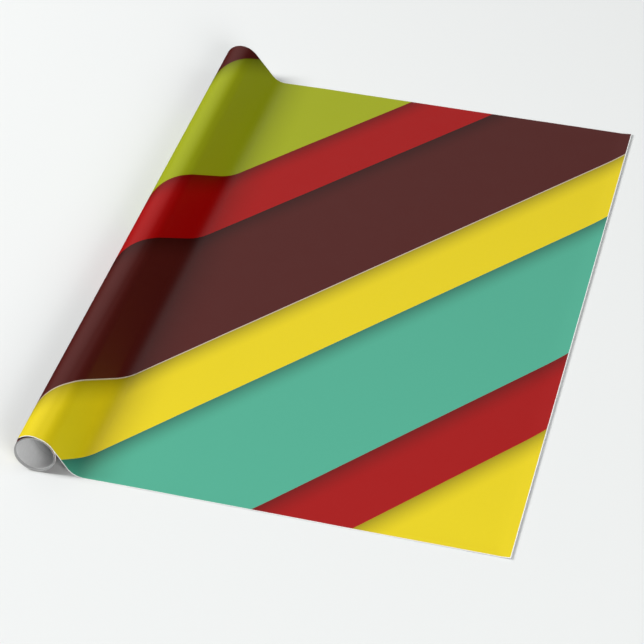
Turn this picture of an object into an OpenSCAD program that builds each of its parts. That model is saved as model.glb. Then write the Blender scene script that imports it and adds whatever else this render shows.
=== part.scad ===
// Wrapping paper roll, partly unrolled on a table.
// One web of paper runs from its free end, up over the roll, and round onto a core tube.
// X runs along the unrolled paper, Y along the roll, Z up, in millimetres.
// The origin is on the table, under the middle of the whole object.

/* [Paper] */
// Width of the paper, which is also the length of the roll
web_w = 762; // [300:1:1000]
// Thickness of the paper
paper_t = 0.12; // [0.08:0.01:0.2]
// Length of paper that lies flat, from the foot of the curve to the free end
flat_len = 449; // [200:1:700]
// Length of paper still wound tight on the core
coil_len = 1190; // [300:5:9000]

/* [Core] */
// Inside diameter of the core tube
core_bore_d = 41.5; // [25:0.5:60]
// Wall of the core tube
core_wall = 0.7; // [0.5:0.1:3]

/* [Lie of the paper] */
// Clear gap between the wound coil and the outermost turn
turn_gap = 0.3; // [0.2:0.05:1]
// How far the loose part of the outermost turn stands off the coil
slack_rise = 1.5; // [0.5:0.1:4]
// Angle round the roll where the loose part ends, on the side of the free end
slack_end_deg = 52; // [50:1:80]
// Angle round the roll where the loose part starts, on the far side
slack_start_deg = 157; // [150:1:200]
// Angle above level at which the paper leaves the roll
leave_deg = 34; // [20:1:48]
// Angle above level at which the outermost turn comes off the coil
pickup_deg = 12; // [0:1:15]
// Radius of the bend where the paper comes down onto the table
foot_r = 22; // [12:1:38]

/* [Hidden] */
$fn = 96;
// Turn between one point of the paper's outline and the next.
facet_deg = 4;

// Radii of the roll, from the bore outwards.
bore_r = core_bore_d / 2;
core_r = bore_r + core_wall;
coil_r = sqrt(core_r * core_r + coil_len * paper_t / PI);
turn_r = coil_r + turn_gap + paper_t;

// The loose part is a tighter arc that straight tangents join to the rest of the turn.
slack_mid_deg = (slack_start_deg + slack_end_deg) / 2;
slack_half_deg = (slack_start_deg - slack_end_deg) / 2;
slack_inset = slack_rise / (1 / cos(slack_half_deg) - 1);
slack_r = turn_r - slack_inset;

// The lead curve falls straight off the roll, then bends to lie on the table.
fall_deg = 90 - leave_deg;
foot_rise = foot_r * (1 - cos(fall_deg)) + paper_t;
fall_run = (turn_r * (1 + sin(leave_deg)) - foot_rise) / sin(fall_deg);
foot_x = turn_r * cos(leave_deg) + fall_run * cos(fall_deg) + foot_r * sin(fall_deg);

// The roll's axis is placed so that the object's footprint is centred on the origin.
axis_xz = [(turn_r - foot_x - flat_len) / 2, turn_r];
slack_xz = axis_xz + at(slack_inset / cos(slack_half_deg), slack_mid_deg);
foot_xz = [axis_xz[0] + foot_x, foot_r + paper_t];

function at(r, deg) = [r * cos(deg), r * sin(deg)];

// Points along an arc, from one angle to the other, in the X and Z plane.
function arc(centre, r, from_deg, to_deg) =
    let (steps = ceil(abs(to_deg - from_deg) / facet_deg))
    [for (i = [0 : steps]) centre + at(r, from_deg + (to_deg - from_deg) * i / steps)];

// One face of the outermost turn, from where it comes off the coil to where it
// leaves the roll. The printed face has a depth of 0 and the back paper_t.
function turn_face(depth) = concat(
    arc(axis_xz, turn_r - depth, 360 + pickup_deg, slack_start_deg),
    arc(slack_xz, slack_r - depth, slack_start_deg, slack_end_deg),
    arc(axis_xz, turn_r - depth, slack_end_deg, leave_deg));

// One face of the lead curve, from the roll down to the table.
function lead_face(depth) = concat(
    [axis_xz + at(turn_r - depth, leave_deg)],
    arc(foot_xz, foot_r + depth, 270 - fall_deg, 270));

function reversed(points) = [for (i = [len(points) - 1 : -1 : 0]) points[i]];

// Extrudes an outline drawn in X and Z across the whole width of the paper.
module across_web() {
    translate([0, web_w / 2, 0]) rotate([90, 0, 0]) linear_extrude(web_w) children();
}

// A strip of paper between its printed face and its back.
module strip(printed_face, back) {
    across_web() polygon(concat(printed_face, reversed(back)));
}

// A tube on the roll's axis.
module tube(r_out, r_in) {
    across_web() translate(axis_xz) difference() {
        circle(r_out);
        circle(r_in);
    }
}

// The paper that lies flat on the table, out to the free end.
module flat_sheet() {
    color([0.36, 0.70, 0.61])
    translate([foot_xz[0], -web_w / 2, 0]) cube([flat_len, web_w, paper_t]);
}

// The paper between the top of the roll and the table.
module lead_curve() {
    color([0.33, 0.18, 0.17]) strip(lead_face(0), lead_face(paper_t));
}

// The outermost turn, close round the underside and loose over the far shoulder.
module outer_turn() {
    color([0.64, 0.67, 0.20]) strip(turn_face(0), turn_face(paper_t));
}

// The inner turns, wound tight on the core.
module wound_coil() {
    color([0.95, 0.95, 0.93]) tube(coil_r, core_r);
}

// The paperboard tube that the paper is wound on.
module core_tube() {
    color([0.74, 0.74, 0.73]) tube(core_r, bore_r);
}

flat_sheet();
lead_curve();
outer_turn();
wound_coil();
core_tube();
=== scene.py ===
"""Gives a part-unrolled roll of gift wrap its looks, around the fixed frame of the part."""
import math

import bpy
import numpy as np
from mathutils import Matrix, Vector


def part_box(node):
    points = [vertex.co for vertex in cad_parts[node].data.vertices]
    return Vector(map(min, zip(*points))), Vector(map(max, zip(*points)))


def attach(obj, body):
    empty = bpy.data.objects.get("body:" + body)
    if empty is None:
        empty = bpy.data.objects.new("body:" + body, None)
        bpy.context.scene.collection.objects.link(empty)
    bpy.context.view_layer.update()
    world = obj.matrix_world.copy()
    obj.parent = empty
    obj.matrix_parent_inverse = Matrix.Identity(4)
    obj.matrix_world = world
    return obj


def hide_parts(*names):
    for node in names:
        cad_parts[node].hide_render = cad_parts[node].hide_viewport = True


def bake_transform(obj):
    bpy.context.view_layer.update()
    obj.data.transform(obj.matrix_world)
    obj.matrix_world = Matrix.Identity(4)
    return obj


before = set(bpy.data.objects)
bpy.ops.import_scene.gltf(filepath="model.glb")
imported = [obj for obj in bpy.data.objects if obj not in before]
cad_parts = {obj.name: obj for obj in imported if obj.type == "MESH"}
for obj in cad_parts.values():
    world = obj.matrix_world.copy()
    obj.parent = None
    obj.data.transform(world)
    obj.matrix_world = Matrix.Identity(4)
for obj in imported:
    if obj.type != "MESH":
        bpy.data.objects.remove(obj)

bl_info = {
    "name": "Gift Wrap Roll",
    "version": (1, 0, 0),
    "blender": (4, 5, 0),
    "location": "3D View > Sidebar > Gift Wrap",
    "description": "Builds the paper, the wound coil, the core and the studio of a gift wrap roll",
    "category": "Add Mesh",
}

MM = 0.001

# The frame's own sizes, in metres. The roll lies along Y and the paper runs along X.
FLAT_LOW, FLAT_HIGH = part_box("flat_sheet")
CORE_LOW, CORE_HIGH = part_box("core_tube")
COIL_LOW, COIL_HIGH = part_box("wound_coil")
FOOT_X = FLAT_LOW[0]
FREE_END_X = FLAT_HIGH[0]
HALF_WIDTH = FLAT_HIGH[1]
AXIS_X = (CORE_LOW[0] + CORE_HIGH[0]) / 2
AXIS_Z = (CORE_LOW[2] + CORE_HIGH[2]) / 2
CORE_R = (CORE_HIGH[0] - CORE_LOW[0]) / 2
COIL_R = (COIL_HIGH[0] - COIL_LOW[0]) / 2
TURN_R = AXIS_Z


def length(name, about, default, low=0.0, high=10.0):
    return bpy.props.FloatProperty(name=name, description=about, default=default,
                                   min=low, max=high, precision=5, unit="LENGTH")


def angle(name, about, degrees):
    return bpy.props.FloatProperty(name=name, description=about,
                                   default=math.radians(degrees), subtype="ANGLE")


def share(name, about, default, high=1.0):
    return bpy.props.FloatProperty(name=name, description=about, default=default,
                                   min=0.0, max=high, subtype="FACTOR")


def light_power(name, about, watts):
    return bpy.props.FloatProperty(name=name, description=about, default=watts,
                                   min=0.0, subtype="POWER")


def colour(name, about, default):
    return bpy.props.FloatVectorProperty(name=name, description=about, default=default,
                                         size=3, min=0.0, max=1.0, subtype="COLOR")


def place(name, about, default):
    return bpy.props.FloatVectorProperty(name=name, description=about, default=default,
                                         size=3, precision=4, subtype="TRANSLATION")


class GIFTWRAP_PG_lie(bpy.types.PropertyGroup):
    """How the paper lies: on the table, up to the roll and round it."""

    thickness: length("Thickness", "Thickness of the shown paper", 0.35 * MM)
    leave_near: angle("Near leave angle",
                      "Angle above level at which the paper leaves the near end", 31)
    leave_far: angle("Far leave angle",
                     "Angle above level at which the paper leaves the far end", 37)
    foot_r: length("Foot radius", "Bend where the paper comes down to the table", 21 * MM)
    slack_rise: length("Slack", "How far the loose shoulder stands off at the ends", 1.7 * MM)
    slack_waist: length("Slack waist", "How much less the shoulder stands off mid-length",
                        0.9 * MM)
    slack_start: angle("Slack start", "Angle where the loose shoulder starts", 159)
    slack_end_near: angle("Near slack end", "Angle where the shoulder ends, near end", 74)
    slack_end_far: angle("Far slack end", "Angle where the shoulder ends, far end", 46)
    tuck: angle("Tuck", "Angle at which the outermost turn meets the coil", 385)
    set_back: length("Set back", "How far the turn's near edge is set back behind the roll",
                     8 * MM)
    end_lift: length("Free end lift", "Rise of the free end off the table", 1.7 * MM)
    side_lift: length("Side lift", "Rise of the long edges off the table", 0.6 * MM)
    lift_run: length("Lift run", "Width of the strip that rises to an edge", 22 * MM)
    ripple: length("Ripple", "Height of the soft ripples in the flat paper", 0.12 * MM)


class GIFTWRAP_PG_print(bpy.types.PropertyGroup):
    """The printed face: slanted bands, each with a soft printed shadow."""

    slant: angle("Slant", "Angle of the bands to the paper's length", 50.4)
    start: length("Start", "Place of the first band, square to the bands",
                  -420.5 * MM, low=-10)
    green_width: length("Green band", "Width of the green band", 164 * MM)
    red_width: length("Red band", "Width of the first red band", 81 * MM)
    brown_width: length("Brown band", "Width of the brown band", 163 * MM)
    yellow_width: length("Yellow band", "Width of the yellow band", 84 * MM)
    teal_width: length("Teal band", "Width of the teal band", 165 * MM)
    end_red_width: length("Last red band", "Width of the last red band", 82.4 * MM)
    end_yellow_width: length("Last yellow band", "Width of the last yellow band", 165 * MM)
    shadow_run: length("Shadow run", "Width of the printed shadow", 28 * MM)
    shadow_depth: share("Shadow depth", "How dark the printed shadow starts", 0.55)
    hairline: length("Hairline", "Width of the pale line beside the brown band", 1.4 * MM)
    hairline_tint: colour("Hairline tint", "Pale line beside the brown band",
                          (0.50, 0.42, 0.33))
    # Painted highlight: the ink stops short of the cut edges, and the white line stands in for
    # light catching the paper's edge.
    painted_edge_highlight: length("Painted edge highlight", "White line along a cut edge, where ink is lost",
                      0.9 * MM)
    green: colour("Green", "Green ink", (0.322, 0.367, 0.0065))
    red: colour("Red", "Red ink", (0.335, 0.0005, 0.0005))
    brown: colour("Brown", "Brown ink", (0.0715, 0.008, 0.006))
    yellow: colour("Yellow", "Yellow ink", (0.72, 0.57, 0.007))
    teal: colour("Teal", "Teal ink", (0.073, 0.377, 0.257))
    back: colour("Back", "Unprinted paper", (0.86, 0.86, 0.85))


class GIFTWRAP_PG_coil(bpy.types.PropertyGroup):
    """The turns wound tight on the core."""

    pitch: length("Pitch", "Radius gained in one turn", 0.12 * MM, low=0.01 * MM)
    thickness: length("Thickness", "Thickness of the wound paper", 0.1 * MM)
    stagger: length("Stagger", "How unevenly the turns end", 0.35 * MM)
    creep: length("Creep", "How far the coil has crept out of the near end", 2.6 * MM)
    flush_at: angle("Flush angle", "Angle round the roll where it hasn't crept out", 60)
    # Painted shade: the wound turns' cut edges are a mid grey, much darker than the paper, for the
    # shade on the end of the coil.
    shaded_cut_edges: colour("Cut edges", "Cut edges of the wound turns", (0.45, 0.45, 0.45))
    board: colour("Board", "Paperboard of the core", (0.7, 0.7, 0.7))
    board_end: share("Board end", "How dark the board's cut ends are", 0.35)
    board_seam: length("Seam pitch", "Distance between the board's spiral seams", 75 * MM)


class GIFTWRAP_PG_studio(bpy.types.PropertyGroup):
    """Floor, soft lights and camera."""

    floor: colour("Floor", "Pale floor", (0.77, 0.785, 0.78))
    floor_sweep: share("Floor sweep", "How much paler the far side of the floor is", 0.15)
    sky: share("Sky", "Brightness of the sky overhead", 0.545, high=5)
    key: light_power("Key power", "Power of the large light on the left", 321.0)
    front: light_power("Front power", "Power of the low light in front", 103.0)
    fill: light_power("Fill power", "Power of the weak light on the right", 22.0)
    key_place: place("Key place", "Middle of the key light", (-4.4, -0.5, 3.6))
    front_place: place("Front place", "Middle of the front light", (2.1, -3.1, 1.7))
    fill_place: place("Fill place", "Middle of the fill light", (3.6, 0.2, 2.2))
    camera_place: place("Camera place", "Camera, seen from the foot of the near end",
                        (0.741, -1.6171, 1.6578))
    lens: bpy.props.FloatProperty(name="Lens", description="Focal length in millimetres",
                                  default=129.0, min=1.0)
    pitch: angle("Camera pitch", "How far the camera looks down", 39.722)
    yaw: angle("Camera yaw", "How far the camera is turned to the left", 14.982)


# ---------------------------------------------------------------- shader helpers

class Wire:
    """An output socket. Arithmetic on it adds Math nodes to its tree."""

    def __init__(self, graph, socket):
        self.graph = graph
        self.socket = socket

    def math(self, operation, *values):
        settings = {"operation": operation}
        return self.graph.add("ShaderNodeMath", settings, dict(enumerate(values)))

    def __add__(self, other):
        return self.math("ADD", self, other)

    def __sub__(self, other):
        return self.math("SUBTRACT", self, other)

    def __rsub__(self, other):
        return self.math("SUBTRACT", other, self)

    def __mul__(self, other):
        return self.math("MULTIPLY", self, other)

    def __truediv__(self, other):
        return self.math("DIVIDE", self, other)

    def __pow__(self, other):
        return self.math("POWER", self, other)

    def __mod__(self, other):
        return self.math("FLOORED_MODULO", self, other)

    def __abs__(self):
        return self.math("ABSOLUTE", self)

    __radd__ = __add__
    __rmul__ = __mul__

    def clamped(self):
        return self.graph.add("ShaderNodeClamp", {}, {0: self})

    def below(self, other):
        """The smaller of this and another value."""
        return self.math("MINIMUM", self, other)

    def rising(self, low, high):
        """0 below low, 1 above high and smooth between them."""
        return self.graph.add("ShaderNodeMapRange", {"interpolation_type": "SMOOTHSTEP"},
                              {0: self, 1: low, 2: high})


class Graph:
    """The node tree of one material or of the world."""

    def __init__(self, owner):
        owner.use_nodes = True
        self.tree = owner.node_tree
        self.tree.nodes.clear()

    def add(self, kind, settings, values, out=0):
        """Adds one node: its settings first, then the values or wires of its sockets."""
        node = self.tree.nodes.new(kind)
        for name, value in settings.items():
            setattr(node, name, value)
        for key, value in values.items():
            if isinstance(value, Wire):
                self.tree.links.new(value.socket, node.inputs[key])
            else:
                node.inputs[key].default_value = value
        return Wire(self, node.outputs[out]) if node.outputs else None

    def mix(self, factor, first, second):
        """A colour between two colours."""
        def rgba(value):
            return value if isinstance(value, Wire) else (*value, 1.0)

        return self.add("ShaderNodeMix", {"data_type": "RGBA"},
                        {0: factor, 6: rgba(first), 7: rgba(second)}, out=2)

    def plain(self, tint):
        """One colour all over, as a wire."""
        return self.mix(0.0, tint, tint)

    def place(self):
        """The place on the object."""
        return self.add("ShaderNodeTexCoord", {}, {}, out="Object")

    def axis(self, number, vector):
        """The X, Y or Z of a vector, as axis 0, 1 or 2."""
        return self.add("ShaderNodeSeparateXYZ", {}, {0: vector}, out=number)

    def darken(self, shade, value):
        """A colour multiplied by a number."""
        grey = self.add("ShaderNodeCombineXYZ", {}, {0: shade, 1: shade, 2: shade})
        return self.add("ShaderNodeVectorMath", {"operation": "MULTIPLY"},
                        {0: value, 1: grey})

    def noise(self, vector, scale, detail=2.0, stretch=(1, 1, 1)):
        placed = self.add("ShaderNodeMapping", {}, {"Vector": vector, "Scale": stretch})
        return self.add("ShaderNodeTexNoise", {},
                        {"Vector": placed, "Scale": scale, "Detail": detail})

    def bump(self, height, distance, strength):
        return self.add("ShaderNodeBump", {},
                        {"Height": height, "Distance": distance, "Strength": strength})

    def surface(self, constants, **linked):
        """Ends the material in a Principled shader."""
        shader = self.add("ShaderNodeBsdfPrincipled", {}, {**constants, **linked})
        self.add("ShaderNodeOutputMaterial", {}, {"Surface": shader})


def new_graph(name):
    material = bpy.data.materials.new(name)
    return material, Graph(material)


# ---------------------------------------------------------------- materials

SHEEN = {"Specular IOR Level": 0.5, "IOR": 1.45}
BAND_BLUR = 0.25 * MM
RAGGED_EDGE = 0.6 * MM


def bands(look):
    """The print's bands in order along the paper: colour and width."""
    return [(look.green, look.green_width), (look.red, look.red_width),
            (look.brown, look.brown_width), (look.yellow, look.yellow_width),
            (look.teal, look.teal_width), (look.red, look.end_red_width),
            (look.yellow, look.end_yellow_width), (look.brown, look.brown_width)]


def fibre(graph, place):
    """Fine paper fibre, from 0 to 1."""
    fine = graph.noise(place, 1900, 3)
    cloud = graph.noise(place, 260, 3, (1, 0.6, 1))
    return fine * 0.6 + cloud * 0.4


def printed_paper(name, look, laid):
    """Coated paper with the slanted bands. UV holds how far the print runs ahead of X,
    or the whole place along the print where the paper isn't laid on the table."""
    material, graph = new_graph(name)
    place = graph.place()
    x, y = graph.axis(0, place), graph.axis(1, place)
    along = graph.axis(0, graph.add("ShaderNodeUVMap", {"uv_map": "Print"}, {}))
    if laid:
        along = along + x
    period = sum(width for _, width in bands(look))
    across = along * math.sin(look.slant) - y * math.cos(look.slant) - look.start
    across = across % period

    (tint, last_width), *other_bands = bands(look)
    ink = graph.plain(tint)
    since = across
    edge = 0.0
    for tint, width in other_bands:
        edge += last_width
        past = ((across - edge) / BAND_BLUR).clamped()
        ink = graph.mix(past, ink, tint)
        since = since - past * last_width
        last_width = width
    fade = (1 - since / look.shadow_run).clamped()
    shade = 1 - (fade ** 1.5) * look.shadow_depth
    ink = graph.darken(shade, ink)

    # A pale hairline where the brown band lies over the yellow one.
    line_at = look.green_width + look.red_width + look.brown_width
    from_line = abs(across - (line_at + look.hairline / 2)) / look.hairline
    line = 1 - from_line.rising(0.35, 0.6)
    ink = graph.mix(line, ink, look.hairline_tint)

    grain = fibre(graph, place)
    ink = graph.darken(0.97 + grain * 0.06, ink)
    rough = 0.36 + graph.noise(place, 35, 2) * 0.06 + grain * 0.05
    if laid:
        # Painted highlight: near the free end and the long edges the ink gives way to white paper,
        # in place of light on the cut edge.
        ragged = graph.noise(place, 900, 2) * RAGGED_EDGE
        from_edge = (HALF_WIDTH - abs(y)).below(FREE_END_X - x) + ragged
        edge_highlight = 1 - from_edge.rising(look.painted_edge_highlight, look.painted_edge_highlight + RAGGED_EDGE / 2)
        ink = graph.mix(edge_highlight, ink, look.back)
        rough = rough + edge_highlight * 0.3
    normal = graph.bump(grain, 0.02 * MM, 0.25)
    graph.surface(SHEEN, **{"Base Color": ink, "Roughness": rough, "Normal": normal})
    return material


def bare_paper(name, tint):
    """The unprinted back and the cut edges."""
    material, graph = new_graph(name)
    grain = fibre(graph, graph.place())
    tone = graph.darken(0.94 + grain * 0.1, graph.plain(tint))
    normal = graph.bump(grain, 0.03 * MM, 0.4)
    graph.surface(SHEEN, **{"Base Color": tone, "Roughness": 0.62 + grain * 0.12,
                            "Normal": normal})
    return material


def paperboard(look):
    """Grey board, wound in a spiral, with its seams showing in the bore."""
    material, graph = new_graph("paperboard")
    place = graph.place()
    centred = graph.add("ShaderNodeMapping", {},
                        {"Vector": place, "Location": (-AXIS_X, 0, -AXIS_Z)})
    x, y, z = (graph.axis(number, centred) for number in range(3))
    turn = x.math("ARCTAN2", z, x) / math.tau
    ply = (y / look.board_seam + turn) % 1.0
    seam = 1 - (ply.below(1 - ply) * look.board_seam).rising(0.15 * MM, 0.6 * MM)
    fleck = graph.noise(place, 420, 4, (1, 0.35, 1))
    cut_end = abs(y).rising(HALF_WIDTH - 0.3 * MM, HALF_WIDTH - 0.1 * MM)
    tone = (0.9 + fleck * 0.16 - seam * 0.12) * (1 - cut_end * look.board_end)
    tint = graph.darken(tone, graph.plain(look.board))
    height = fleck * 0.5 - seam
    normal = graph.bump(height, 0.06 * MM, 0.5)
    graph.surface({"Specular IOR Level": 0.3},
                  **{"Base Color": tint, "Roughness": 0.72 + fleck * 0.12, "Normal": normal})
    return material


# ---------------------------------------------------------------- shape helpers

def deselect_all():
    if bpy.context.object and bpy.context.object.mode != "OBJECT":
        bpy.ops.object.mode_set(mode="OBJECT")
    bpy.ops.object.select_all(action="DESELECT")


def add_grid(name, columns, rows):
    """A flat grid, with each vertex's column and row."""
    deselect_all()
    bpy.ops.mesh.primitive_grid_add(x_subdivisions=columns, y_subdivisions=rows, size=2)
    sheet = bpy.context.object
    sheet.name = name
    sheet.data.name = name
    flat = np.empty(len(sheet.data.vertices) * 3)
    sheet.data.vertices.foreach_get("co", flat)
    flat = flat.reshape(-1, 3)
    column = np.rint((flat[:, 0] + 1) / 2 * columns).astype(int)
    row = np.rint((flat[:, 1] + 1) / 2 * rows).astype(int)
    return sheet, column, row


def move_vertices(sheet, points):
    sheet.data.vertices.foreach_set("co", np.ascontiguousarray(points, float).ravel())
    sheet.data.update()


def store_print(sheet, ahead):
    """Keeps the place along the print in the sheet's own UV map."""
    layer = sheet.data.uv_layers.new(name="Print")
    corner_vertex = np.empty(len(sheet.data.loops), int)
    sheet.data.loops.foreach_get("vertex_index", corner_vertex)
    uv = np.stack([ahead[corner_vertex], np.zeros(len(corner_vertex))], axis=1)
    layer.data.foreach_set("uv", uv.astype(np.float32).ravel())
    for other in [l for l in sheet.data.uv_layers if l.name != "Print"]:
        sheet.data.uv_layers.remove(other)


def give_thickness(sheet, thickness, printed, bare):
    """Thickens a sheet away from its printed face, and bakes the modifier in."""
    sheet.data.materials.append(printed)
    sheet.data.materials.append(bare)
    wall = sheet.modifiers.new("Thickness", "SOLIDIFY")
    wall.thickness = thickness
    wall.offset = -1
    wall.use_even_offset = True
    wall.material_offset = 1
    wall.material_offset_rim = 1
    deselect_all()
    sheet.select_set(True)
    bpy.context.view_layer.objects.active = sheet
    bpy.ops.object.modifier_apply(modifier=wall.name)
    bpy.ops.object.shade_smooth_by_angle(angle=math.radians(40))


def turn_face_up(sheet):
    """Turns a grid over whose columns run away from the free end."""
    deselect_all()
    bpy.context.view_layer.objects.active = sheet
    bpy.ops.object.mode_set(mode="EDIT")
    bpy.ops.mesh.select_all(action="SELECT")
    bpy.ops.mesh.flip_normals()
    bpy.ops.object.mode_set(mode="OBJECT")


def steps(start, stop, count):
    return list(np.linspace(start, stop, count, endpoint=False))


def ease(value):
    value = np.clip(value, 0, 1)
    return value * value * (3 - 2 * value)


# ---------------------------------------------------------------- the paper

WEB_ROWS = 84
COIL_ROWS = 20
STEPS_PER_TURN = 72
FOOT_STRIP = 60 * MM
RIPPLE_REACH = 120 * MM
# The loose part of the outermost turn's near edge, as angles round the roll.
SET_BACK_FROM, SET_BACK_TO, SET_BACK_EASE = np.radians((125, 350, 60))


class PaperPath:
    """The printed face's path in X and Z at one place across the paper, from the free
    end up over the roll and once round it."""

    def __init__(self, lie, y):
        self.lie = lie
        far_share = (y / HALF_WIDTH + 1) / 2
        self.leave = lie.leave_near + (lie.leave_far - lie.leave_near) * far_share
        self.slack_end = (lie.slack_end_near
                          + (lie.slack_end_far - lie.slack_end_near) * far_share)
        slack_rise = lie.slack_rise - lie.slack_waist * ease(1 - abs(y) / HALF_WIDTH)
        fall = math.pi / 2 - self.leave
        foot_rise = lie.foot_r * (1 - math.cos(fall)) + lie.thickness
        drop = TURN_R * (1 + math.sin(self.leave)) - foot_rise
        self.fall = fall
        self.foot_len = lie.foot_r * fall
        self.slope_len = drop / math.sin(fall)
        self.foot_x = (AXIS_X + TURN_R * math.cos(self.leave)
                       + self.slope_len * math.cos(fall) + lie.foot_r * math.sin(fall))
        self.flat_len = FREE_END_X - self.foot_x
        half = (lie.slack_start - self.slack_end) / 2
        inset = slack_rise / (1 / math.cos(half) - 1)
        middle = (lie.slack_start + self.slack_end) / 2
        self.slack_r = TURN_R - inset
        self.slack_centre = (AXIS_X + inset / math.cos(half) * math.cos(middle),
                             AXIS_Z + inset / math.cos(half) * math.sin(middle))

    def stations(self):
        """Stretches of the path: a kind, its end measure and its number of steps."""
        lie = self.lie
        return [("flat", self.flat_len, 64), ("foot", self.fall, 26),
                ("slope", self.slope_len, 16),
                ("turn", (self.leave, self.slack_end), 10),
                ("slack", (self.slack_end, lie.slack_start), 48),
                ("turn", (lie.slack_start, lie.tuck), 70)]

    def points(self):
        """Rows of X, Z, distance from the free end and angle round the roll."""
        lie = self.lie
        low_x = self.foot_x - lie.foot_r * math.sin(self.fall)
        low_z = lie.thickness + lie.foot_r * (1 - math.cos(self.fall))
        rows = []
        for kind, measure, count in self.stations():
            if kind == "flat":
                rows += [(FREE_END_X - measure * done, lie.thickness, 0.0)
                         for done in ease_out_steps(count)]
            elif kind == "foot":
                rows += [(self.foot_x - lie.foot_r * math.sin(turned),
                          lie.thickness + lie.foot_r * (1 - math.cos(turned)), 0.0)
                         for turned in steps(0, measure, count)]
            elif kind == "slope":
                rows += [(low_x - gone * math.cos(self.fall),
                          low_z + gone * math.sin(self.fall), 0.0)
                         for gone in steps(0, measure, count)]
            else:
                centre, radius = (self.slack_centre, self.slack_r)
                if kind == "turn":
                    centre, radius = ((AXIS_X, AXIS_Z), TURN_R)
                rows += [(centre[0] + radius * math.cos(at),
                          centre[1] + radius * math.sin(at), at)
                         for at in np.linspace(*measure, count)]
        rows = np.array(rows)
        gaps = np.hypot(np.diff(rows[:, 0]), np.diff(rows[:, 1]))
        run = np.concatenate([[0.0], np.cumsum(gaps)])
        return np.insert(rows, 2, run, axis=1)


def ease_out_steps(count):
    """Shares of the flat length, closer together towards the free end."""
    return [(i / count) ** 1.5 for i in range(count)]


def row_places(count):
    """Places across the paper, closer together towards its two edges."""
    return [-HALF_WIDTH * math.cos(math.pi * i / count) for i in range(count + 1)]


def shape_paper(lie, column, row, rows):
    """Vertex places of the printed face, and how far the print runs ahead of X."""
    places = row_places(rows)
    paths = np.array([PaperPath(lie, place).points() for place in places])
    x, z, run, at = paths[row, column].T
    y = np.array(places)[row]
    ahead = (FREE_END_X - run) - x

    # The free end and the long edges lift a little off the table.
    on_table = ease((x - FOOT_X) / FOOT_STRIP)
    end_rise = np.clip(1 - (FREE_END_X - x) / lie.lift_run, 0, 1) ** 2
    near_rise = np.clip(1 - (y + HALF_WIDTH) / lie.lift_run, 0, 1) ** 2
    far_rise = np.clip(1 - (HALF_WIDTH - y) / lie.lift_run, 0, 1) ** 2
    along = (x - FOOT_X) / (FREE_END_X - FOOT_X)
    uneven = 1 - 0.5 * np.sin(np.clip(along, 0, 1) * math.pi) + 0.2 * np.sin(x * 31 + 1.3)
    rise = np.maximum(lie.end_lift * end_rise, lie.side_lift * (near_rise + 0.6 * far_rise))
    z = z + on_table * rise * uneven

    # Soft ripples that run along the roll, as in paper that has been wound.
    near_foot = np.exp(-((x - FOOT_X) / RIPPLE_REACH) ** 2)
    ripple = near_foot * np.sin(x * 95 + 0.8 * np.sin(y * 5))
    swell = np.sin(x * 23 + 1.1) * np.sin(y * 9 + 0.5)
    z = z + on_table * lie.ripple * (1 + ripple + 0.8 * swell)

    # The near edge of the outermost turn sits back behind the end of the roll.
    round_back = ease((at - SET_BACK_FROM) / SET_BACK_EASE)
    round_back *= ease((SET_BACK_TO - at) / SET_BACK_EASE)
    near = ease((-y / HALF_WIDTH - 0.6) / 0.4)
    y = y + lie.set_back * round_back * near
    return np.stack([x, y, z], axis=1), ahead


class GIFTWRAP_OT_paper(bpy.types.Operator):
    """Makes the paper from its free end, up over the roll and once round it"""

    bl_idname = "giftwrap.paper"
    bl_label = "Paper"

    def execute(self, context):
        scene = context.scene
        lie = scene.giftwrap_lie
        columns = len(PaperPath(lie, 0.0).points()) - 1
        web, column, row = add_grid("paper_web", columns, WEB_ROWS)
        points, ahead = shape_paper(lie, column, row, WEB_ROWS)
        move_vertices(web, points)
        store_print(web, ahead)
        turn_face_up(web)
        give_thickness(web, lie.thickness,
                       printed_paper("printed_paper", scene.giftwrap_print, laid=True),
                       bare_paper("bare_paper", scene.giftwrap_print.back))
        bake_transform(web)
        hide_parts("flat_sheet", "lead_curve", "outer_turn")
        return {"FINISHED"}


class GIFTWRAP_OT_coil(bpy.types.Operator):
    """Winds the inner turns of the paper on the core"""

    bl_idname = "giftwrap.coil"
    bl_label = "Coil"

    def execute(self, context):
        scene = context.scene
        lie = scene.giftwrap_lie
        look = scene.giftwrap_coil
        turns = (COIL_R - CORE_R) / look.pitch
        columns = int(turns * STEPS_PER_TURN)
        coil, column, row = add_grid("wound_paper", columns, COIL_ROWS)
        turned = column / columns * turns * math.tau
        at = lie.tuck + turned
        radius = COIL_R - look.pitch * turned / math.tau
        y = np.array(row_places(COIL_ROWS))[row]
        stagger = look.stagger * (np.sin(turned * 0.9) + 0.6 * np.sin(turned * 2.3 + 1)) / 1.6
        y = y + np.sign(y) * np.abs(y / HALF_WIDTH) ** 6 * (stagger - look.stagger)
        # The coil has crept out askew, so it is still flush on the shoulder.
        askew = (1 - np.cos(at - look.flush_at)) / 2
        y = y - look.creep * (y / HALF_WIDTH) ** 2 * askew
        points = np.stack([AXIS_X + radius * np.cos(at), y, AXIS_Z + radius * np.sin(at)],
                          axis=1)
        move_vertices(coil, points)
        mean_radius = (COIL_R + radius) / 2
        web_end = PaperPath(lie, 0.0).points()[-1][2]
        store_print(coil, FREE_END_X - web_end - turned * mean_radius)
        turn_face_up(coil)
        # The coil's back and cut ends take the darker grey, painted shade for its shadowed end.
        give_thickness(coil, look.thickness,
                       printed_paper("wound_print", scene.giftwrap_print, laid=False),
                       bare_paper("shaded_cut_edges", look.shaded_cut_edges))
        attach(coil, "coil")
        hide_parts("wound_coil")
        return {"FINISHED"}


class GIFTWRAP_OT_core(bpy.types.Operator):
    """Finishes the paperboard core that the paper is wound on"""

    bl_idname = "giftwrap.core"
    bl_label = "Core"

    def execute(self, context):
        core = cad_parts["core_tube"]
        core.data.materials.clear()
        core.data.materials.append(paperboard(context.scene.giftwrap_coil))
        return {"FINISHED"}


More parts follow.
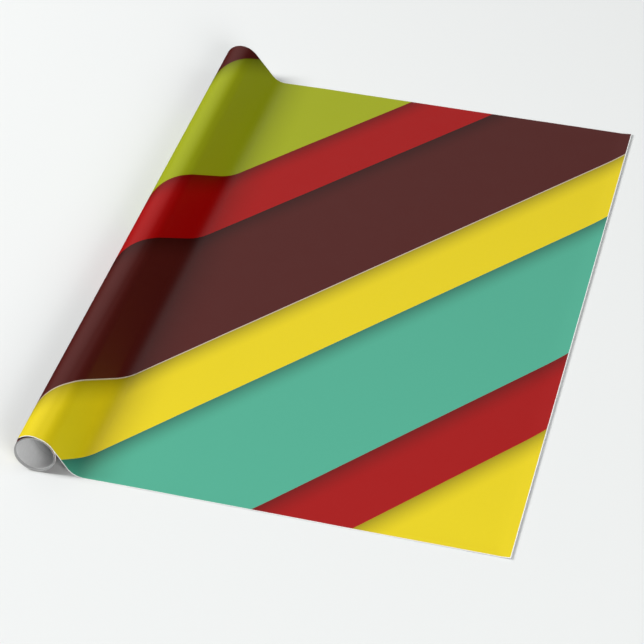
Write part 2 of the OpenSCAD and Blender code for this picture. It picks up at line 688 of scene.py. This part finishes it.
class GIFTWRAP_OT_studio(bpy.types.Operator):
    """Sets up the pale floor, the soft lights and the camera"""

    bl_idname = "giftwrap.studio"
    bl_label = "Studio"

    def execute(self, context):
        scene = context.scene
        look = scene.giftwrap_studio
        self.add_floor(look)
        self.add_sky(scene, look)
        self.add_light("key", look.key, (1.2, 2.5), look.key_place)
        self.add_light("front", look.front, (1.6, 1.6), look.front_place)
        self.add_light("fill", look.fill, (2.0, 2.0), look.fill_place)
        self.add_camera(scene, look)
        scene.view_settings.view_transform = "Standard"
        return {"FINISHED"}

    def add_floor(self, look):
        deselect_all()
        bpy.ops.mesh.primitive_plane_add(size=14, location=(0, 0, -0.02 * MM))
        floor = bpy.context.object
        floor.name = "floor"
        material, graph = new_graph("floor")
        # The paler far side evens out the light of the near lamp.
        far = graph.axis(1, graph.place()).rising(-1.2, 1.2)
        tone = (1 - look.floor_sweep / 2) + far * look.floor_sweep
        tint = graph.darken(tone, graph.plain(look.floor))
        graph.surface({"Roughness": 0.8, "Specular IOR Level": 0.1}, **{"Base Color": tint})
        floor.data.materials.append(material)
        floor.visible_glossy = False

    def add_sky(self, scene, look):
        world = bpy.data.worlds.new("sky")
        scene.world = world
        graph = Graph(world)
        direction = graph.add("ShaderNodeTexCoord", {}, {}, out="Generated")
        right, back, up = (graph.axis(number, direction) for number in range(3))
        glow = (up - right * 0.5 + back * 0.4).rising(0.66, 1.02) * look.sky
        sky = graph.add("ShaderNodeBackground", {}, {"Color": (1, 1, 1, 1), "Strength": glow})
        graph.add("ShaderNodeOutputWorld", {}, {"Surface": sky})

    def add_light(self, name, power, size, place):
        """A soft light that faces the object and isn't mirrored in it."""
        bpy.ops.object.light_add(type="AREA", location=place)
        light = bpy.context.object
        light.name = name
        light.data.energy = power
        light.data.shape = "RECTANGLE"
        light.data.size, light.data.size_y = size
        light.visible_glossy = False
        light.rotation_euler = (-light.location).to_track_quat("-Z", "Y").to_euler()
        return light

    def add_camera(self, scene, look):
        near_foot = Vector((AXIS_X, -HALF_WIDTH, 0))
        bpy.ops.object.camera_add(location=near_foot + Vector(look.camera_place),
                                  rotation=(math.pi / 2 - look.pitch, 0, look.yaw))
        camera = bpy.context.object
        camera.data.lens = look.lens
        camera.data.sensor_width = 36
        scene.camera = camera


class GIFTWRAP_PT_sidebar(bpy.types.Panel):
    bl_label = "Gift Wrap Roll"
    bl_idname = "GIFTWRAP_PT_sidebar"
    bl_space_type = "VIEW_3D"
    bl_region_type = "UI"
    bl_category = "Gift Wrap"

    def draw(self, context):
        layout = self.layout
        for operator in (GIFTWRAP_OT_paper, GIFTWRAP_OT_coil, GIFTWRAP_OT_core,
                         GIFTWRAP_OT_studio):
            layout.operator(operator.bl_idname)
        for group, cls in SETTINGS.items():
            settings = getattr(context.scene, group)
            layout.label(text=cls.__doc__)
            for name in cls.__annotations__:
                layout.prop(settings, name)


SETTINGS = {
    "giftwrap_lie": GIFTWRAP_PG_lie,
    "giftwrap_print": GIFTWRAP_PG_print,
    "giftwrap_coil": GIFTWRAP_PG_coil,
    "giftwrap_studio": GIFTWRAP_PG_studio,
}
CLASSES = [*SETTINGS.values(), GIFTWRAP_OT_paper, GIFTWRAP_OT_coil, GIFTWRAP_OT_core,
           GIFTWRAP_OT_studio, GIFTWRAP_PT_sidebar]


def register():
    for cls in CLASSES:
        bpy.utils.register_class(cls)
    for group, cls in SETTINGS.items():
        setattr(bpy.types.Scene, group, bpy.props.PointerProperty(type=cls))


def unregister():
    for group in SETTINGS:
        delattr(bpy.types.Scene, group)
    for cls in reversed(CLASSES):
        bpy.utils.unregister_class(cls)


def main():
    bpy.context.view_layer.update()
    register()
    bpy.ops.giftwrap.studio()
    bpy.ops.giftwrap.paper()
    bpy.ops.giftwrap.coil()
    bpy.ops.giftwrap.core()


if __name__ == "__main__":
    main()
